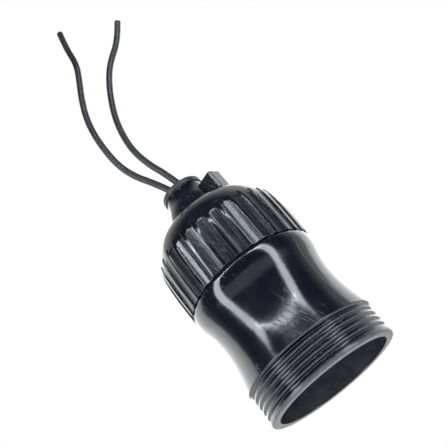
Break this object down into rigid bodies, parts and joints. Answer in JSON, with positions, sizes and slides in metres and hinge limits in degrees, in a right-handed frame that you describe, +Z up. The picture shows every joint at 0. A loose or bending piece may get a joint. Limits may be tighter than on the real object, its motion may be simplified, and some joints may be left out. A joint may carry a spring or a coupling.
{
  "type": "lamp holder",
  "caption": "Black moulded pendant holder for a screw-cap lamp, with ribbed cap, threaded mouth, rubber lead seal, hanging lug and two free leads.",
  "frame": {"origin": "centre of the mouth rim, on the axis of the holder", "axes": "+Z up along the axis from the mouth to the leads; the hanging lug is on the +X, -Y side; the two leads lie side by side along X"},
  "size_m": [0.0474, 0.0472, 0.1775],
  "materials": {
    "black_moulding": "glossy",
    "black_rubber": "satin",
    "gasket_rubber": "matte",
    "lead_sheath": "satin",
    "insert_moulding": "satin",
    "nickelled_brass": "satin",
    "bare_brass": "satin",
    "zinc_steel": "satin",
    "spring_steel": "satin"
  },
  "bodies": {
    "cap_and_insert": {"cap": "black_moulding", "lead_seal": "black_rubber", "insert": "insert_moulding", "screw_shell": "nickelled_brass", "neutral_rivet": "bare_brass", "shell_rivet": "bare_brass", "fixing_screws": "zinc_steel", "fixing_washers": "zinc_steel", "contact_spring": "spring_steel", "live_strap": "bare_brass", "neutral_strap": "bare_brass", "live_terminal": "bare_brass", "neutral_terminal": "bare_brass", "clamp_screws": "zinc_steel", "live_ferrule": "nickelled_brass", "neutral_ferrule": "nickelled_brass", "live_lead_held": "lead_sheath", "neutral_lead_held": "lead_sheath", "neutral_lead": "lead_sheath", "live_lead": "lead_sheath"},
    "gasket_ring": {"joint_gasket": "gasket_rubber"},
    "mouth_shell": {"shell": "black_moulding"},
    "centre_contact": {"contact_button": "nickelled_brass", "contact_pin": "bare_brass"}
  },
  "joints": [
    {"name": "seam_advance", "type": "slide", "parent": "cap_and_insert", "child": "gasket_ring", "axis": [0, 0, -1], "range_m": [0, 0.006]},
    {"name": "shell_turn", "type": "hinge", "parent": "gasket_ring", "child": "mouth_shell", "pos_m": [0, 0, 0], "axis": [0, 0, -1], "range_deg": [0, 1080]},
    {"name": "contact_press", "type": "slide", "parent": "cap_and_insert", "child": "centre_contact", "axis": [0, 0, 1], "range_m": [0, 0.002], "stiffness_N_per_m": 900, "springref_m": -0.0012, "deforming": ["contact_spring"]}
  ],
  "couplings": [
    {"joint": "seam_advance", "follows": "shell_turn", "m_per_rad": 0.00031831}
  ]
}
